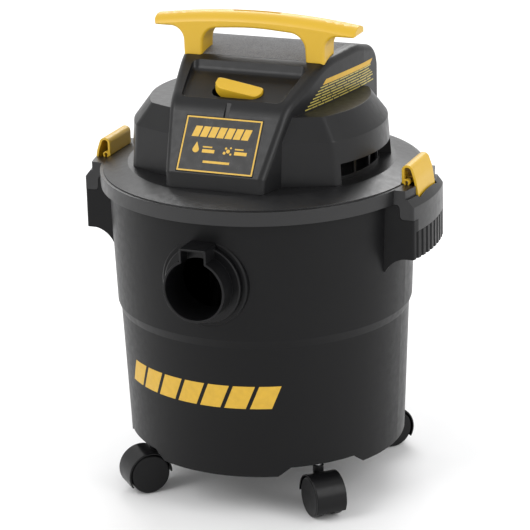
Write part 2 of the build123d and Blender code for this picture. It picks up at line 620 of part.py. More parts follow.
def cover_screws():
    """Pan-head screws up through the lid into the cover's posts."""
    head_low = DECK_TOP - LID_THICKNESS - 2.6
    screws = []
    for x, y in cover_screw_places():
        head = disc(4.2, head_low, DECK_TOP - LID_THICKNESS)
        head = fillet(head.edges().group_by(Axis.Z)[0], 1.2)
        shank = disc(SCREW_THREAD, DECK_TOP - LID_THICKNESS - 0.2, DECK_TOP + 16)
        cross = extrude(Rectangle(4, 0.9) + Rectangle(0.9, 4), 1.3)
        screws.append(Pos(x, y, 0) * (head + shank - Pos(0, 0, head_low) * cross))
    return [s.solids()[0] for s in screws]


# ---------------------------------------------------------------- handle
def handle_front_view():
    """Legs, wings and finger opening of the handle, seen from the front and flat on top."""
    low, top = 430.0, HANDLE_TOP + 8
    leg_outer, leg_inner = LEG_OUTER_X - 0.8, LEG_INNER_X + 1.5
    edges = [Line((-HANDLE_HALF_LENGTH, top), (HANDLE_HALF_LENGTH, top))]
    for side in (-1, 1):
        edges.append(FilletPolyline(
            (side * HANDLE_HALF_LENGTH, top), (side * HANDLE_HALF_LENGTH, WING_LOW),
            (side * LEG_OUTER_X, WING_LOW), (side * leg_outer, low), radius=[3, 14]))
        edges.append(Line((side * leg_outer, low), (side * leg_inner, low)))
    corner_x, corner_z, grip_low = LEG_INNER_X - 0.5, HANDLE_TOP - 18, HANDLE_TOP - 14
    edges.append(FilletPolyline(
        (-leg_inner, low), (-corner_x, corner_z), (0, grip_low), (corner_x, corner_z), (leg_inner, low),
        radius=[17, 300, 17]))
    return make_face(Curve() + edges)


def handle_crown():
    """The handle's rounded top section swept along its arch."""
    end_height = HANDLE_TOP - HANDLE_ARCH_DROP
    arch = ThreePointArc((-HANDLE_ARCH_HALF, end_height), (0, HANDLE_TOP), (HANDLE_ARCH_HALF, end_height))
    path = Plane.XZ * arch
    half, drop, depth = HANDLE_DEPTH / 2, 8.8, 70.0
    sides = Polyline((half, -drop), (half, -depth), (-half, -depth), (-half, -drop))
    section = make_face(Curve() + [ThreePointArc((-half, -drop), (0, 0), (half, -drop)), sides])
    return sweep(Plane(origin=path @ 0, x_dir=(0, 1, 0), z_dir=path % 0) * section, path=path)


def handle():
    half = HANDLE_DEPTH / 2
    bar = extrude(Plane.XZ * handle_front_view(), half, both=True)
    rims = [e for e in bar.edges() if abs(e.center().Y) > half - 0.1 and abs(e.center().X) < HANDLE_HALF_LENGTH - 0.1]
    bar = fillet([e for e in rims if 436 < e.center().Z < HANDLE_TOP], 2.8)
    plan = extrude(Plane.XY.offset(420) * RectangleRounded(2 * HANDLE_HALF_LENGTH, HANDLE_DEPTH, 5), 90)
    bar = bar & plan & handle_crown()
    scallop_radius, scallop_depth, pitch = 9.0, 1.1, 9.5
    for x in (78, 78 + pitch, 78 + 2 * pitch):
        drop = HANDLE_ARCH_DROP * (x / HANDLE_ARCH_HALF) ** 2
        for side in (-1, 1):
            height = HANDLE_TOP - drop + scallop_radius - scallop_depth
            bar -= along_y(scallop_radius, -20, 20, side * x, height)
    bar -= extrude(Plane.XY.offset(HANDLE_TOP - 1.6) * SlotOverall(52, 5.0), 5)
    bar = Pos(0, HANDLE_Y, 0) * bar - spine(0)
    for x in (-HANDLE_SCREW_X, HANDLE_SCREW_X):
        bar -= Pos(x, HANDLE_Y, 0) * disc(SCREW_THREAD, 425, 466)
    return bar


def handle_screws():
    screws = []
    for x in (-HANDLE_SCREW_X, HANDLE_SCREW_X):
        shank = disc(SCREW_THREAD, 433, 463)
        head = disc(4.4, 431, 434)
        screws.append((Pos(x, HANDLE_Y, 0) * (shank + head)).solids()[0])
    return screws


# ---------------------------------------------------------------- switch
ROCKER_HALF_LENGTH, ROCKER_HALF_WIDTH = 23.5, 8.2
ROCKER_PIVOT_DEPTH, ROCKER_REST_TILT, ROCKER_CROWN_RADIUS = 5.0, 12.0, 13.5


def switch_rocker():
    """Boat-shaped rocker, one end proud, with a small drip point on its front face."""
    half, end_height, middle_height = ROCKER_HALF_LENGTH, 9.6, 7.2
    top = ThreePointArc((-half, end_height), (0, middle_height), (half, end_height))
    left = ThreePointArc((-half, end_height), (-half - 0.9, 6.0), (-half + 1.5, 0.0))
    right = ThreePointArc((half, end_height), (half + 0.9, 6.0), (half - 1.5, 0.0))
    foot = Polyline((-half + 1.5, 0.0), (-7, -8.5), (7, -8.5), (half - 1.5, 0.0))
    body = extrude(Plane.XZ * make_face(Curve() + [top, left, right, foot]), ROCKER_HALF_WIDTH, both=True)
    crown = Circle(ROCKER_CROWN_RADIUS)
    hollow = extrude(Plane.YZ * crown, half + 4, both=True)
    body = body & Pos(0, 0, end_height + 0.4 - ROCKER_CROWN_RADIUS) * hollow
    plan = Plane.XY.offset(-20) * SlotOverall(2 * half + 2, 2 * ROCKER_HALF_WIDTH)
    body = body & extrude(plan, 60)
    body -= along_y(PIN_RADIUS + RUNNING_GAP, -20, 20, 0, -ROCKER_PIVOT_DEPTH)
    tilt = Pos(0, 0, -ROCKER_PIVOT_DEPTH) * Rot(0, ROCKER_REST_TILT, 0) * Pos(0, 0, ROCKER_PIVOT_DEPTH)
    return switch_plane() * (tilt * body)


def switch_body():
    """Switch case under the slot, open on top, with two pivots for the rocker."""
    outer = extrude(Plane.XY.offset(-18) * SlotOverall(60, 26), 16.4)
    inner = extrude(Plane.XY.offset(-15) * SlotOverall(53.5, 20.5), 20)
    case = outer - inner
    pivot = along_y(PIN_RADIUS, -11, 11, 0, -ROCKER_PIVOT_DEPTH)
    return switch_plane() * (case + pivot)


# ---------------------------------------------------------------- motor and suction fan
def fan_shroud():
    """Pressed can round the suction fan, with the intake eye in its floor."""
    return turned((20, 290), (66, 290), (66, 328), (64.6, 328), (64.6, 291.4), (20, 291.4))


def motor_gasket():
    return ring(62, 30, WELL_FLOOR_LOW + LID_THICKNESS, 290)


def impeller():
    """Closed suction fan: two discs with seven swept vanes between them."""
    low, high, plate = 293.5, 315.0, 1.2
    body = ring(60, SHAFT_RADIUS, high - plate, high) + ring(60, 20, low, low + plate)
    body += ring(8, SHAFT_RADIUS, 300, high)
    vane_line = ThreePointArc((22, 0), (40, 12), (57, 10))
    vane = Pos(0, 0, low + 0.5) * extrude(make_face(offset(vane_line, amount=0.6, side=Side.BOTH).edges()), high - low - 1)
    for copy in around(7, vane):
        body += copy
    return body


def motor_plate():
    """Cast plate over the fan with the lower bearing's seat and return-air windows."""
    body = ring(66, 11, 328, 331.5) + ring(15, 11, 326, 339)
    window = Pos(0, 0, 327) * extrude(Pos(54, 0) * SlotOverall(22, 8, rotation=90), 6)
    for cut in around(8, window):
        body -= cut
    return body


def motor_frame():
    """Motor bracket: a windowed can with the upper bearing's seat across its top."""
    body = ring(44, 41.2, 331.5, 404) + ring(44, 14, 401.5, 404) + ring(14, 11, 395, 404)
    window = block((20, -9, 378), (60, 9, 396))
    vent = Pos(0, 0, 400) * extrude(Pos(28, 0) * SlotOverall(18, 8, rotation=90), 6)
    for cut in around(6, window, 30) + around(6, vent):
        body -= cut
    for cut in around(2, block((30, -8.5, 377), (60, 8.5, 394))):
        body -= cut
    return body


def stator():
    """Laminated field core with two pole shoes."""
    body = ring(41.2, 36, 342, 374)
    pole = block((-13, 25, 342), (13, 37, 374)) - disc(24.6, 341, 375)
    for copy in around(2, pole):
        body += copy
    return body


def field_coils():
    """Two wound coils round the stator's poles."""
    coil = block((-19, 22, 337), (19, 30, 379)) - block((-13.2, 20, 341.8), (13.2, 40, 374.2))
    coil = coil - disc(25.4, 330, 380)
    return [c.solids()[0] for c in around(2, coil)]


def armature():
    """Slotted laminated core."""
    body = ring(24, SHAFT_RADIUS, 345, 371)
    for cut in around(12, Pos(21.5, 0, 344) * extrude(SlotOverall(7, 2.2), 30)):
        body -= cut
    return body


def commutator():
    body = ring(12, SHAFT_RADIUS, 379, 392)
    for cut in around(16, Pos(12, 0, 378) * extrude(Rectangle(1.6, 0.5), 15)):
        body -= cut
    return body


def brush_holders():
    holder = block((14, -5, 380), (40, 5, 391)) - block((13, -3.2, 382), (38, 3.2, 389))
    return [h.solids()[0] for h in around(2, holder)]


def brushes():
    brush = block((12.3, -3.1, 382.1), (32, 3.1, 388.9))
    return [b.solids()[0] for b in around(2, brush)]


def rotor_shaft():
    shaft = disc(SHAFT_RADIUS, 296, 424)
    return chamfer(shaft.edges(), 0.4)


def bearing(low):
    """Ball bearing as one piece: outer ring, shield and inner ring."""
    groove = ring(8.6, 6.2, low + 6.4, low + 8)
    return ring(11, SHAFT_RADIUS, low, low + 7) - groove


def cooling_fan():
    body = ring(30, SHAFT_RADIUS, 409, 410.4) + ring(7, SHAFT_RADIUS, 409, 419)
    for copy in around(8, block((6, -0.7, 410), (29, 0.7, 419))):
        body += copy
    return body


# ---------------------------------------------------------------- filter and float
CAGE_RADIUS, CAGE_LOW = 48.0, 160.0
FLOAT_RADIUS = 19.0


def float_cage():
    """Ribbed cage below the lid that keeps the float and carries the foam sleeve."""
    top = WELL_FLOOR_LOW
    body = ring(CAGE_RADIUS, CAGE_RADIUS - 2.5, CAGE_LOW, top - 0.2) + disc(CAGE_RADIUS, CAGE_LOW, CAGE_LOW + 3)
    body += ring(CAGE_RADIUS + 8, 16, top - 4, top)
    window = Pos(0, 0, 0) * block((30, -8, CAGE_LOW + 12), (60, 8, top - 16))
    for cut in around(8, window):
        body -= cut
    hole = Pos(30, 0, CAGE_LOW - 1) * extrude(Circle(6), 5)
    for cut in around(6, hole):
        body -= cut
    return body


def float_ball():
    """Hollow ball with a small moulding flat inside."""
    return Pos(0, 0, CAGE_LOW + 3.2 + FLOAT_RADIUS) * (Sphere(FLOAT_RADIUS) - Sphere(FLOAT_RADIUS - 1.5))


def foam_sleeve():
    return ring(CAGE_RADIUS + 10, CAGE_RADIUS + 0.2, CAGE_LOW + 2, WELL_FLOOR_LOW - 4.2)


def filter_ring():
    """Band that holds the sleeve's upper end to the cage."""
    return ring(CAGE_RADIUS + 11.6, CAGE_RADIUS + 10.1, 262, 270)


# ---------------------------------------------------------------- write the pieces
def main():
    save("tank", tank())
    save("inlet_port", inlet_port())
    save("inlet_gasket", inlet_gasket())
    save("inlet_nut", inlet_nut())
    save_casters()
    save("lid", lid())
    save("lid_gasket", lid_gasket())
    save("head_cover", head_cover())
    save("cover_screws", cover_screws())
    save("blower_port", blower_port())
    save("cord_gland", cord_gland())
    save("badge_plate", badge_plate())
    save("handle", handle())
    save("handle_screws", handle_screws())
    save("switch_body", switch_body())
    save("switch_rocker", switch_rocker())
    save("latch_right", latch())
    save("latch_left", Rot(0, 0, 180) * latch())
    save("latch_pin_right", latch_pin())
    save("latch_pin_left", Rot(0, 0, 180) * latch_pin())
    save("fan_shroud", fan_shroud())
    save("motor_gasket", motor_gasket())
    save("impeller", impeller())
    save("motor_plate", motor_plate())
    save("motor_frame", motor_frame())
    save("stator", stator())
    save("field_coils", field_coils())
    save("armature", armature())
    save("commutator", commutator())
    save("brush_holders", brush_holders())
    save("brushes", brushes())
    save("rotor_shaft", rotor_shaft())
    save("bearing_lower", bearing(331.5))
    save("bearing_upper", bearing(395.5))
    save("cooling_fan", cooling_fan())
    save("float_cage", float_cage())
    save("float_ball", float_ball())
    save("foam_sleeve", foam_sleeve())
    save("filter_ring", filter_ring())


main()
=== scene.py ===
"""The shop vacuum's looks round its CAD frame: materials, printed marks, foam sleeve, studio and camera."""

import math
import random

import bpy
from mathutils import Matrix, Vector, noise
from mathutils.bvhtree import BVHTree


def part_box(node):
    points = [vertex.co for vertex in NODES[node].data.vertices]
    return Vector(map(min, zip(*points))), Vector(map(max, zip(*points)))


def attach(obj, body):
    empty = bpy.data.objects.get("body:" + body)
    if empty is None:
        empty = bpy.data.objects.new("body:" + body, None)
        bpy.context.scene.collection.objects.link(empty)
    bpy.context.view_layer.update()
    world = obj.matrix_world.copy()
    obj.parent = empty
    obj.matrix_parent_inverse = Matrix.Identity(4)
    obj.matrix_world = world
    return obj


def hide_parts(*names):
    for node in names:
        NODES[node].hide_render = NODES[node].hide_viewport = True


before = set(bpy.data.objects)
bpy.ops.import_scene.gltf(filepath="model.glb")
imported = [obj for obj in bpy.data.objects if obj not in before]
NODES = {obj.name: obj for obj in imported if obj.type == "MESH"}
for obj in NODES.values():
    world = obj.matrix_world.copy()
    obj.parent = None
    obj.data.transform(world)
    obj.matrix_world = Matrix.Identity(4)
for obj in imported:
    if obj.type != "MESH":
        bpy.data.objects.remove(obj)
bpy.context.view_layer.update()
MM = 0.001

CORNERS = ("front_right", "rear_right", "rear_left", "front_left")


# ---------------------------------------------------------------- node helpers
class Nodes:
    """Short calls for building one node material."""

    def __init__(self, name):
        self.material = bpy.data.materials.new(name)
        self.material.use_nodes = True
        self.tree = self.material.node_tree
        self.tree.nodes.clear()
        self.out = self.tree.nodes.new("ShaderNodeOutputMaterial")
        self.shader = self.tree.nodes.new("ShaderNodeBsdfPrincipled")
        self.link(self.shader.outputs["BSDF"], self.out.inputs["Surface"])
        self.place = self.tree.nodes.new("ShaderNodeTexCoord").outputs["Object"]

    def link(self, a, b):
        self.tree.links.new(a, b)

    def add(self, kind, values=None, **settings):
        node = self.tree.nodes.new(kind)
        for key, value in settings.items():
            setattr(node, key, value)
        for key, value in (values or {}).items():
            if hasattr(value, "is_output"):
                self.link(value, node.inputs[key])
            else:
                node.inputs[key].default_value = value
        return node

    def noise(self, size_mm, detail=2.0, roughness=0.5, where=None):
        """Noise whose features are about that many millimetres across."""
        values = {"Vector": where or self.place, "Scale": 1.0 / (size_mm * MM)}
        values.update({"Detail": detail, "Roughness": roughness})
        return self.add("ShaderNodeTexNoise", values).outputs["Fac"]

    def spread(self, value, low, high, start=0.3, end=0.7):
        """Maps the middle of a 0 to 1 value onto low to high."""
        values = {"Value": value, "From Min": start, "From Max": end, "To Min": low, "To Max": high}
        return self.add("ShaderNodeMapRange", values).outputs["Result"]

    def mix(self, fac, a, b):
        node = self.tree.nodes.new("ShaderNodeMix")
        node.data_type = "RGBA"
        for key, value in (("Factor", fac), ("A", a), ("B", b)):
            socket = next(s for s in node.inputs if s.name == key and s.enabled)
            if hasattr(value, "is_output"):
                self.link(value, socket)
            else:
                socket.default_value = value
        return next(s for s in node.outputs if s.enabled)

    def math(self, operation, *values, clamp=False):
        node = self.add("ShaderNodeMath", operation=operation, use_clamp=clamp)
        for socket, value in zip(node.inputs, values):
            if hasattr(value, "is_output"):
                self.link(value, socket)
            else:
                socket.default_value = value
        return node.outputs[0]

    def bump(self, height, depth_mm, strength=1.0, normal=None):
        values = {"Height": height, "Distance": depth_mm * MM, "Strength": strength}
        if normal is not None:
            values["Normal"] = normal
        return self.add("ShaderNodeBump", values).outputs["Normal"]

    def soft_edges(self, radius_mm):
        return self.add("ShaderNodeBevel", {"Radius": radius_mm * MM}, samples=6).outputs["Normal"]


def rgba(colour, factor=1.0):
    return (colour[0] * factor, colour[1] * factor, colour[2] * factor, 1.0)


def moulded(name, colour, rough, grain_mm, grain_depth_mm, edge_mm=0.5, variation=0.12, specular=0.5):
    """Moulded plastic: fine spark-eroded grain, faint flow marks and rounded edges."""
    n = Nodes(name)
    flow = n.noise(38, 3.0)
    cloud = n.noise(7, 4.0)
    share = n.math("MULTIPLY_ADD", flow, 0.6, 0.2)
    mottled = n.mix(share, rgba(colour, 1 - variation), rgba(colour, 1 + variation))
    n.link(mottled, n.shader.inputs["Base Color"])
    n.link(n.spread(cloud, rough - 0.045, rough + 0.045), n.shader.inputs["Roughness"])
    n.shader.inputs["Specular IOR Level"].default_value = specular
    edges = n.soft_edges(edge_mm)
    waviness = n.bump(flow, 0.25, 0.5, edges)
    grain = n.bump(n.noise(grain_mm, 3.0, 0.6), grain_depth_mm, 0.6, waviness)
    n.link(grain, n.shader.inputs["Normal"])
    return n


# the coarse pad on the cover's crown, whose lighter grey is partly painted sheen: its edges along Y, its half
# width at y = 0 and how fast that grows
PAD_FRONT, PAD_BACK, PAD_EDGE = -14.5 * MM, 66.0 * MM, 0.5 * MM
PAD_HALF_WIDTH, PAD_FLARE = 68 * MM, 0.16


def head_plastic():
    """The cover's plastic, with the coarse grained pad on its crown; the pad's lighter grey is painted sheen on
    upward faces.
    """
    black = (0.0055, 0.0055, 0.006)
    n = moulded("black_head_plastic", black, 0.34, 0.8, 0.05, specular=0.33)
    split = n.add("ShaderNodeSeparateXYZ", {"Vector": n.place})
    x = n.math("ABSOLUTE", split.outputs["X"])
    facing = n.add("ShaderNodeTexCoord").outputs["Normal"]
    up = n.add("ShaderNodeSeparateXYZ", {"Vector": facing}).outputs["Z"]
    wobble = n.math("MULTIPLY", n.math("SUBTRACT", n.noise(1.6), 0.5), 0.6 * MM)
    half_width = n.math("MULTIPLY_ADD", split.outputs["Y"], PAD_FLARE, PAD_HALF_WIDTH)
    masks = [
        n.spread(n.math("SUBTRACT", half_width, n.math("ADD", x, wobble)), 0.0, 1.0, 0.0, PAD_EDGE),
        n.spread(n.math("ADD", split.outputs["Y"], wobble), 0.0, 1.0, PAD_FRONT, PAD_FRONT + PAD_EDGE),
        n.spread(n.math("ADD", split.outputs["Y"], wobble), 1.0, 0.0, PAD_BACK, PAD_BACK + PAD_EDGE),
        n.spread(up, 0.0, 1.0, 0.75, 0.8),
    ]
    mask = masks[0]
    for other in masks[1:]:
        mask = n.math("MULTIPLY", mask, other, clamp=True)
    smooth_colour = n.shader.inputs["Base Color"].links[0].from_socket
    speckle = n.noise(1.3, 3.0, 0.7)
    # the pad's speckled grain is real, but its lighter grey is painted sheen standing in for bright surroundings
    # reflected at grazing angles
    pad_grain_and_sheen_colour = n.mix(n.spread(speckle, 0.0, 1.0), rgba((0.04, 0.04, 0.0415)), rgba((0.16, 0.16, 0.165)))
    n.link(n.mix(mask, smooth_colour, pad_grain_and_sheen_colour), n.shader.inputs["Base Color"])
    rough = n.shader.inputs["Roughness"].links[0].from_socket
    blended = n.math("ADD", n.math("MULTIPLY", mask, 0.24), rough)
    n.link(blended, n.shader.inputs["Roughness"])
    height = n.math("MULTIPLY", mask, speckle)
    smooth_normal = n.shader.inputs["Normal"].links[0].from_socket
    n.link(n.bump(height, 0.8, 0.9, smooth_normal), n.shader.inputs["Normal"])
    return n


def metal(name, colour, rough, streak_mm, depth_mm, along=(1, 1, 8)):
    """Drawn, pressed or plated metal with fine streaks one way."""
    n = Nodes(name)
    stretched = n.add("ShaderNodeMapping", {"Vector": n.place, "Scale": along}).outputs["Vector"]
    streaks = n.noise(streak_mm, 4.0, 0.6, stretched)
    stains = n.noise(9, 3.0)
    stained = n.mix(n.spread(stains, 0.0, 1.0), rgba(colour, 0.82), rgba(colour, 1.05))
    n.link(stained, n.shader.inputs["Base Color"])
    n.link(n.spread(streaks, rough - 0.08, rough + 0.08), n.shader.inputs["Roughness"])
    n.shader.inputs["Metallic"].default_value = 1.0
    n.link(n.bump(streaks, depth_mm, 0.5, n.soft_edges(0.3)), n.shader.inputs["Normal"])
    return n


def laminated(name, colour):
    """A stack of varnished steel sheets."""
    n = Nodes(name)
    z = n.add("ShaderNodeSeparateXYZ", {"Vector": n.place}).outputs["Z"]
    sheet = n.math("FRACT", n.math("MULTIPLY", z, 1 / (0.65 * MM)))
    line = n.spread(sheet, 0.0, 1.0, 0.0, 0.25)
    n.link(n.mix(line, rgba(colour, 0.35), rgba(colour, 1.0)), n.shader.inputs["Base Color"])
    n.link(n.spread(n.noise(2.5), 0.35, 0.55), n.shader.inputs["Roughness"])
    n.shader.inputs["Metallic"].default_value = 0.8
    n.link(n.bump(line, 0.08, 0.7), n.shader.inputs["Normal"])
    return n


def wound_copper():
    """Enamelled wire laid in even turns, its colour darkened towards the grooves between turns as painted shade.
    """
    n = Nodes("copper_winding")
    split = n.add("ShaderNodeSeparateXYZ", {"Vector": n.place})
    turn = n.math("SINE", n.math("MULTIPLY", split.outputs["Z"], 2 * math.pi / (0.8 * MM)))
    wire = n.spread(turn, 0.0, 1.0, -1.0, 1.0)
    # the dark end of this mix is painted shade in the grooves between turns; the same wire relief also drives
    # the bump below
    n.link(n.mix(wire, rgba((0.25, 0.07, 0.02)), rgba((0.8, 0.34, 0.12))), n.shader.inputs["Base Color"])
    n.link(n.spread(n.noise(3), 0.22, 0.36), n.shader.inputs["Roughness"])
    n.shader.inputs["Metallic"].default_value = 1.0
    n.link(n.bump(wire, 0.2, 0.8), n.shader.inputs["Normal"])
    return n


def foam_material():
    """Open-cell foam: a pale web, with painted shade darkening its pores."""
    n = Nodes("open_cell_foam")
    pore = 1.7 * MM
    cells = n.add("ShaderNodeTexVoronoi", {"Vector": n.place, "Scale": 1 / pore}, feature="DISTANCE_TO_EDGE")
    web = n.spread(cells.outputs["Distance"], 1.0, 0.0, 0.03, 0.22)
    # the dark pore colour is painted shade in the cells; the same web relief also drives the bump below
    n.link(n.mix(web, rgba((0.012, 0.012, 0.013)), rgba((0.09, 0.09, 0.095))), n.shader.inputs["Base Color"])
    n.link(n.spread(n.noise(4), 0.85, 0.97), n.shader.inputs["Roughness"])
    n.shader.inputs["Specular IOR Level"].default_value = 0.25
    n.link(n.bump(web, 0.9, 0.9), n.shader.inputs["Normal"])
    return n


def printed(name, colour):
    """Screen-printed ink: slightly uneven edge to edge, with a fine orange-peel surface."""
    n = Nodes(name)
    cloud = n.noise(6, 4.0)
    uneven = n.mix(n.spread(cloud, 0.0, 1.0), rgba(colour, 0.93), rgba(colour, 1.04))
    n.link(uneven, n.shader.inputs["Base Color"])
    n.link(n.spread(n.noise(2.0, 3.0), 0.36, 0.48), n.shader.inputs["Roughness"])
    n.link(n.bump(n.noise(0.9, 2.0), 0.03, 0.6), n.shader.inputs["Normal"])
    return n


def floor_material():
    n = Nodes("pale_floor")
    cloud = n.noise(300, 2.0)
    n.link(n.mix(cloud, rgba((0.86, 0.86, 0.865)), rgba((0.9, 0.9, 0.9))), n.shader.inputs["Base Color"])
    n.link(n.spread(n.noise(40), 0.6, 0.7), n.shader.inputs["Roughness"])
    return n


# ---------------------------------------------------------------- materials on the CAD nodes
YELLOW = (0.61, 0.375, 0.018)
INK = (0.60, 0.36, 0.025)

tank_plastic = moulded("black_tank_plastic", (0.005, 0.005, 0.0054), 0.38, 0.9, 0.05, specular=0.17)
lid_plastic = moulded("black_lid_plastic", (0.0065, 0.0065, 0.007), 0.36, 0.9, 0.05, specular=0.5)
cover_plastic = head_plastic()
satin_plastic = moulded("black_satin_plastic", (0.0045, 0.0045, 0.005), 0.32, 0.7, 0.03, specular=0.22)
wheel_plastic = moulded("black_wheel_plastic", (0.006, 0.006, 0.0065), 0.34, 0.7, 0.03, specular=0.22)
yellow_plastic = moulded("yellow_plastic", YELLOW, 0.36, 0.8, 0.03, edge_mm=0.8, variation=0.03)
white_plastic = moulded("white_plastic", (0.78, 0.78, 0.74), 0.4, 0.8, 0.03, variation=0.04)
rubber = moulded("black_rubber", (0.02, 0.02, 0.02), 0.7, 0.5, 0.08, edge_mm=0.3)
plate_plastic = moulded("front_plate_black", (0.005, 0.0045, 0.0042), 0.3, 0.6, 0.015,
                        edge_mm=0.3, variation=0.2, specular=0.3)
carbon = moulded("pressed_carbon", (0.03, 0.03, 0.03), 0.6, 0.3, 0.05, edge_mm=0.2)
steel = metal("plated_steel", (0.62, 0.62, 0.63), 0.3, 0.6, 0.02)
sheet_aluminium = metal("sheet_aluminium", (0.78, 0.79, 0.8), 0.32, 0.8, 0.02)
cast_aluminium = metal("cast_aluminium", (0.56, 0.57, 0.59), 0.48, 1.2, 0.12, along=(1, 1, 1))
brass = metal("drawn_brass", (0.78, 0.58, 0.24), 0.3, 0.6, 0.02)
laminations = laminated("lamination_steel", (0.3, 0.3, 0.32))
copper = wound_copper()
commutator_copper = metal("turned_copper", (0.8, 0.42, 0.22), 0.28, 0.5, 0.02, along=(1, 1, 20))
foam = foam_material()
yellow_ink = printed("yellow_ink", INK)
pale_ink = printed("pale_yellow_ink", (0.5, 0.42, 0.09))

FINISHES = {
    tank_plastic: ["tank"],
    lid_plastic: ["lid"],
    cover_plastic: ["head_cover"],
    satin_plastic: ["inlet_port", "inlet_nut", "blower_port", "switch_body", "float_cage"],
    yellow_plastic: ["handle", "switch_rocker", "latch_left", "latch_right"],
    white_plastic: ["float_ball", "cooling_fan"],
    rubber: ["inlet_gasket", "lid_gasket", "motor_gasket", "cord_gland", "filter_ring"],
    plate_plastic: ["badge_plate"],
    carbon: ["brushes"],
    steel: ["cover_screws", "handle_screws", "latch_pin_left", "latch_pin_right", "rotor_shaft", "bearing_lower",
            "bearing_upper"],
    sheet_aluminium: ["fan_shroud", "impeller"],
    cast_aluminium: ["motor_plate", "motor_frame"],
    brass: ["brush_holders"],
    laminations: ["stator", "armature"],
    copper: ["field_coils"],
    commutator_copper: ["commutator"],
}
for corner in CORNERS:
    FINISHES[satin_plastic].append(f"caster_hood_{corner}")
    FINISHES[wheel_plastic] = FINISHES.get(wheel_plastic, []) + [f"caster_wheel_{s}_{corner}" for s in "ab"]
    FINISHES[steel] += [f"caster_stem_{corner}", f"caster_axle_{corner}"]


def dress(node, material):
    data = NODES[node].data
    data.materials.clear()
    data.materials.append(material)


for finish, names in FINISHES.items():
    for node_name in names:
        dress(node_name, finish.material)


# ---------------------------------------------------------------- mesh helpers
def piece(name, vertices, faces, material, body, smooth=False):
    mesh = bpy.data.meshes.new(name)
    mesh.from_pydata([tuple(v) for v in vertices], [], faces)
    mesh.validate()
    mesh.update()
    if smooth:
        mesh.polygons.foreach_set("use_smooth", [True] * len(mesh.polygons))
    obj = bpy.data.objects.new(name, mesh)
    bpy.context.collection.objects.link(obj)
    mesh.materials.append(material)
    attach(obj, body)
    return obj


def slab(columns, rows, at):
    """A thin closed sheet. at(i, j) gives the (outer point, inner point) of one grid point."""
    count = (columns + 1) * (rows + 1)
    pairs = [at(i / columns, j / rows) for j in range(rows + 1) for i in range(columns + 1)]
    vertices = [p[0] for p in pairs] + [p[1] for p in pairs]
    index = lambda i, j: j * (columns + 1) + i
    faces = []
    for j in range(rows):
        for i in range(columns):
            quad = [index(i, j), index(i + 1, j), index(i + 1, j + 1), index(i, j + 1)]
            faces.append(quad)
            faces.append([count + v for v in reversed(quad)])
    rim = [index(i, 0) for i in range(columns + 1)]
    rim += [index(columns, j) for j in range(1, rows + 1)]
    rim += [index(i, rows) for i in range(columns - 1, -1, -1)]
    rim += [index(0, j) for j in range(rows - 1, 0, -1)]
    for a, b in zip(rim, rim[1:] + rim[:1]):
        faces.append([b, a, count + a, count + b])
    return vertices, faces


def joined(parts):
    vertices, faces = [], []
    for part_vertices, part_faces in parts:
        start = len(vertices)
        vertices += part_vertices
        faces += [[start + v for v in face] for face in part_faces]
    return vertices, faces


def surface_of(node):
    mesh = NODES[node].data
    mesh.calc_loop_triangles()
    places = [v.co.copy() for v in mesh.vertices]
    return BVHTree.FromPolygons(places, [t.vertices[:] for t in mesh.loop_triangles])


INK_PROUD, INK_SUNK = 0.12 * MM, 0.1 * MM


# ---------------------------------------------------------------- mark on the tank
MARK_START, MARK_END = math.radians(-46), math.radians(29.5)
MARK_LOW, MARK_HIGH = 0.1225, 0.1465
MARK_BLOCKS = 7
MARK_GAP, MARK_LEAN = 0.16, 0.38  # shares of one block's pitch
tank_surface = surface_of("tank")


def on_tank(angle, height):
    """A point on the tank's wall at an angle from -Y towards +X, as (outer, inner) of a layer of ink."""
    outwards = Vector((math.sin(angle), -math.cos(angle), 0.0))
    start = outwards * 0.4 + Vector((0, 0, height))
    hit, normal = tank_surface.ray_cast(start, -outwards)[:2]
    return hit + outwards * INK_PROUD, hit - outwards * INK_SUNK


def tank_mark():
    """A plain band of slanted blocks round the front of the tank."""
    pitch = (MARK_END - MARK_START) / (MARK_BLOCKS + MARK_LEAN)
    parts = []
    for i in range(MARK_BLOCKS):
        def at(u, v, i=i):
            angle = MARK_START + pitch * (i + u * (1 - MARK_GAP) + v * MARK_LEAN)
            return on_tank(angle, MARK_LOW + v * (MARK_HIGH - MARK_LOW))
        parts.append(slab(14, 4, at))
    vertices, faces = joined(parts)
    return piece("tank_mark_blocks", vertices, faces, yellow_ink.material, "tank")


tank_mark()


# ---------------------------------------------------------------- front plate
def plate_frame():
    """Middle, right, up and normal of the front plate's outer face, from its own mesh."""
    mesh = NODES["badge_plate"].data
    facing = [p for p in mesh.polygons if p.normal.y < -0.5 and p.normal.z > 0.3]
    normal = max(facing, key=lambda p: p.area).normal.copy()
    outer = max((v.co for v in mesh.vertices), key=lambda c: c.dot(normal))
    low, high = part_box("badge_plate")
    middle = (Vector(low) + Vector(high)) / 2
    middle += normal * (outer - middle).dot(normal)
    right = Vector((1, 0, 0))
    return middle, right, normal.cross(right).normalized(), normal


PLATE_MIDDLE, PLATE_RIGHT, PLATE_UP, PLATE_NORMAL = plate_frame()
PLATE_HALF_WIDTH, PLATE_HALF_HEIGHT = 40.5 * MM, 29.0 * MM


def on_plate(x, y):
    point = PLATE_MIDDLE + PLATE_RIGHT * x + PLATE_UP * y
    return point + PLATE_NORMAL * INK_PROUD, point - PLATE_NORMAL * INK_SUNK


def plate_bar(x0, y0, x1, y1, lean=0.0, columns=1, rows=1):
    def at(u, v):
        return on_plate(x0 + u * (x1 - x0) + v * lean, y0 + v * (y1 - y0))
    return slab(columns, rows, at)


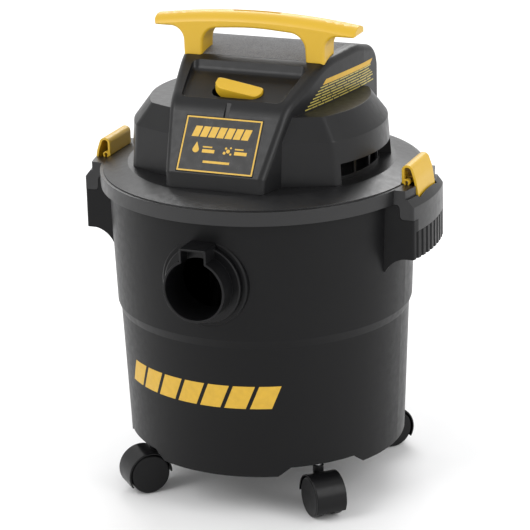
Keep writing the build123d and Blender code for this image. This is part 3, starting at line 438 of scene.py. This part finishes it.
def plate_round(x, y, radius, stretch=0.0, steps=28):
    """A disc, or a drop with a point upwards, as a thin closed sheet."""
    outer, inner = [], []
    for k in range(steps):
        a = 2 * math.pi * k / steps
        rise = math.sin(a)
        lift = stretch * max(0.0, rise) ** 3
        pinch = 1 - (0.55 * max(0.0, rise) ** 2 if stretch else 0.0)
        o, i = on_plate(x + radius * math.cos(a) * pinch, y + radius * rise + lift)
        outer.append(o)
        inner.append(i)
    n = steps
    faces = [list(range(n)), list(range(2 * n - 1, n - 1, -1))]
    faces += [[(k + 1) % n, k, n + k, n + (k + 1) % n] for k in range(n)]
    return outer + inner, faces


# (left, low, right, high) in millimetres of each plain bar
PLATE_BARS = ((-17, -8.4, -4, -4.9), (-17, -3.2, -7, -1.8), (17, -8.4, 30, -4.9), (17, -3.2, 26, -1.8),
              (-14, -18.8, 14, -16.4))
# (x, y, radius) in millimetres of each dot that stands for dry dust
DUST_DOTS = ((6.5, -7.2, 1.5), (10.2, -5.2, 2.0), (7.6, -2.4, 1.2), (13.2, -8.0, 1.1), (12.6, -1.6, 1.0))


def plate_border():
    inset, width = 0.7 * MM, 1.5 * MM
    w, h = PLATE_HALF_WIDTH - inset, PLATE_HALF_HEIGHT - inset
    ring = [(-w, -h, w, -h + width), (-w, h - width, w, h), (-w, -h + width, -w + width, h - width),
            (w - width, -h + width, w, h - width)]
    vertices, faces = joined([plate_bar(*bar) for bar in ring])
    return piece("plate_border", vertices, faces, yellow_ink.material, "head")


def plate_marks():
    """Generic marks: slanted blocks, a drop for wet, dots for dry and plain bars."""
    parts = []
    blocks, width, gap, lean = 7, 7.2 * MM, 1.5 * MM, 3 * MM
    span = blocks * (width + gap) - gap
    for i in range(blocks):
        x = -span / 2 + i * (width + gap) - lean / 2
        parts.append(plate_bar(x, 7.5 * MM, x + width, 18.5 * MM, lean=lean))
    parts.append(plate_round(-24 * MM, -5.5 * MM, 3.4 * MM, stretch=4.2 * MM))
    for x, y, r in DUST_DOTS:
        parts.append(plate_round(x * MM, y * MM, r * MM, steps=16))
    for bar in PLATE_BARS:
        parts.append(plate_bar(*(size * MM for size in bar)))
    vertices, faces = joined(parts)
    return piece("plate_marks", vertices, faces, yellow_ink.material, "head")


plate_border()
plate_marks()


# ---------------------------------------------------------------- side label
BAND_FRONT, BAND_BACK, BAND_HEIGHT = -22.5 * MM, 74.5 * MM, 426.2 * MM
DASH_ROWS, DASH_TOP, DASH_PITCH, DASH_THICKNESS = 7, 423.8 * MM, 2.75 * MM, 1.1 * MM
DASH_FRONT, DASH_BACK = -26.5 * MM, 76 * MM
DASH_FALL = 0.001  # each dash falls by this share of its length
SHORTEST_SPACE = 6 * MM  # a row ends when less than this is left
cover_surface = surface_of("head_cover")


def on_side(y, z):
    start = Vector((0.16, y, z))
    hit, normal = cover_surface.ray_cast(start, Vector((-1, 0, 0)))[:2]
    if normal.x < 0:
        normal = -normal
    return hit + normal * INK_PROUD, hit - normal * INK_SUNK


def side_strip(y0, z0, y1, z1, height, columns, lean=0.0):
    def at(u, v):
        return on_side(y0 + u * (y1 - y0) + v * lean, z0 + u * (z1 - z0) + v * height)
    return slab(columns, 2, at)


def side_label():
    """A yellow band over rows of fine dashes on the spine's right wall."""
    band = side_strip(BAND_FRONT, BAND_HEIGHT, BAND_BACK, BAND_HEIGHT - MM, 4.8 * MM, 40, lean=6.5 * MM)
    vertices, faces = joined([band])
    piece("side_label_band", vertices, faces, yellow_ink.material, "head")
    draw = random.Random(7)
    parts = []
    for row in range(DASH_ROWS):
        z = DASH_TOP - row * DASH_PITCH
        y = DASH_FRONT - row * 4.6 * MM
        end = DASH_BACK + row * 1.2 * MM
        while y < end - SHORTEST_SPACE:
            length = min(draw.uniform(8 * MM, 26 * MM), end - y)
            parts.append(side_strip(y, z, y + length, z - DASH_FALL * length, DASH_THICKNESS, 5))
            y += length + draw.uniform(1.2 * MM, 2 * MM)
    vertices, faces = joined(parts)
    piece("side_label_lines", vertices, faces, pale_ink.material, "head")


side_label()


# ---------------------------------------------------------------- foam sleeve
SLEEVE_BORE_RADIUS, SLEEVE_CORNER = 48.3 * MM, 3.0 * MM
DENT_DEPTH, DENTS_PER_METRE = 0.9 * MM, 45
FUZZ_DEPTH, FUZZ_PER_METRE = 0.35 * MM, 260
def foam_sleeve():
    """The filter sleeve as a slightly uneven soft tube in the space of its CAD solid."""
    low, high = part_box("foam_sleeve")
    outer, inner = (high[0] - low[0]) / 2, SLEEVE_BORE_RADIUS
    bottom, top = low[2], high[2]
    around, rise, across = 120, 44, 5  # steps round the tube, up its wall and over its rounded corners
    section = []
    corner = SLEEVE_CORNER
    for k in range(rise + 1):
        section.append((outer, bottom + corner + (top - bottom - 2 * corner) * k / rise, 1.0))
    for k in range(1, across):
        section.append((outer - corner + corner * math.cos(math.pi / 2 * k / across),
                        top - corner + corner * math.sin(math.pi / 2 * k / across), 0.6))
    section.append((outer - corner, top, 0.3))
    section.append((inner, top, 0.0))
    for k in range(1, rise + 1):
        section.append((inner, top - (top - bottom) * k / (rise + 1), 0.0))
    section.append((inner, bottom, 0.0))
    section.append((outer - corner, bottom, 0.3))
    for k in range(1, across):
        section.append((outer - corner + corner * math.sin(math.pi / 2 * k / across),
                        bottom + corner - corner * math.cos(math.pi / 2 * k / across), 0.6))
    vertices, faces = [], []
    for a in range(around):
        angle = 2 * math.pi * a / around
        for radius, z, soft in section:
            here = Vector((math.cos(angle) * 0.06, math.sin(angle) * 0.06, z))
            dent = soft * (DENT_DEPTH * noise.noise(here * DENTS_PER_METRE) - DENT_DEPTH)
            dent += soft * FUZZ_DEPTH * noise.noise(here * FUZZ_PER_METRE)
            r = radius + dent
            vertices.append((r * math.cos(angle), r * math.sin(angle), z))
    m = len(section)
    for a in range(around):
        b = (a + 1) % around
        for k in range(m):
            j = (k + 1) % m
            faces.append([a * m + k, b * m + k, b * m + j, a * m + j])
    obj = piece("foam_filter_sleeve", vertices, faces, foam.material, "head", smooth=True)
    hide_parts("foam_sleeve")
    return obj


foam_sleeve()


# ---------------------------------------------------------------- studio
FLOOR_HALF, FLOOR_GAP = 12.0, 0.0002
WORLD_STRENGTH = 0.88
LIGHT_AIM = (0, 0, 0.25)
LIGHTS = {  # name: (place, size, watts)
    "key_light": ((-1.5, -1.9, 2.2), (1.6, 1.6), 34),
    "right_light": ((2.3, -0.6, 1.5), (1.2, 1.8), 22),
    "back_light": ((-0.6, 2.3, 2.1), (2.2, 1.2), 40),
}


def floor():
    corners = [(-FLOOR_HALF, -FLOOR_HALF, 0), (FLOOR_HALF, -FLOOR_HALF, 0), (FLOOR_HALF, FLOOR_HALF, 0),
               (-FLOOR_HALF, FLOOR_HALF, 0)]
    mesh = bpy.data.meshes.new("studio_floor")
    mesh.from_pydata(corners, [], [[0, 1, 2, 3]])
    obj = bpy.data.objects.new("studio_floor", mesh)
    bpy.context.collection.objects.link(obj)
    obj.location.z = -FLOOR_GAP
    mesh.materials.append(floor_material().material)


def area_light(name, place, size, watts):
    data = bpy.data.lights.new(name, "AREA")
    data.shape, data.size, data.size_y = "RECTANGLE", size[0], size[1]
    data.energy = watts
    obj = bpy.data.objects.new(name, data)
    bpy.context.collection.objects.link(obj)
    obj.location = place
    obj.rotation_euler = (Vector(LIGHT_AIM) - Vector(place)).to_track_quat("-Z", "Y").to_euler()


def studio():
    world = bpy.data.worlds.new("studio_world")
    bpy.context.scene.world = world
    world.use_nodes = True
    background = world.node_tree.nodes["Background"]
    background.inputs["Color"].default_value = (1.0, 1.0, 1.0, 1.0)
    background.inputs["Strength"].default_value = WORLD_STRENGTH
    for name, (place, size, watts) in LIGHTS.items():
        area_light(name, place, size, watts)
    bpy.context.scene.view_settings.view_transform = "Standard"
    bpy.context.scene.view_settings.look = "None"


def camera():
    azimuth, elevation, roll = math.radians(22.5), math.radians(18.82), math.radians(1.41)
    distance, target = 2.57845, Vector((0.00036, 0.0, 0.2234))
    focal_length, sensor = 169.811321, 36.0
    back = Vector((math.sin(azimuth) * math.cos(elevation), -math.cos(azimuth) * math.cos(elevation),
                   math.sin(elevation)))
    level = Vector((math.cos(azimuth), math.sin(azimuth), 0.0))
    up = back.cross(level)
    right = level * math.cos(roll) - up * math.sin(roll)
    top = level * math.sin(roll) + up * math.cos(roll)
    data = bpy.data.cameras.new("camera")
    data.sensor_width, data.lens = sensor, focal_length
    data.clip_start, data.clip_end = 0.05, 60.0
    obj = bpy.data.objects.new("camera", data)
    bpy.context.collection.objects.link(obj)
    turn = Matrix((right, top, back)).transposed()
    obj.matrix_world = Matrix.Translation(target + back * distance) @ turn.to_4x4()
    bpy.context.scene.camera = obj


floor()
studio()
camera()
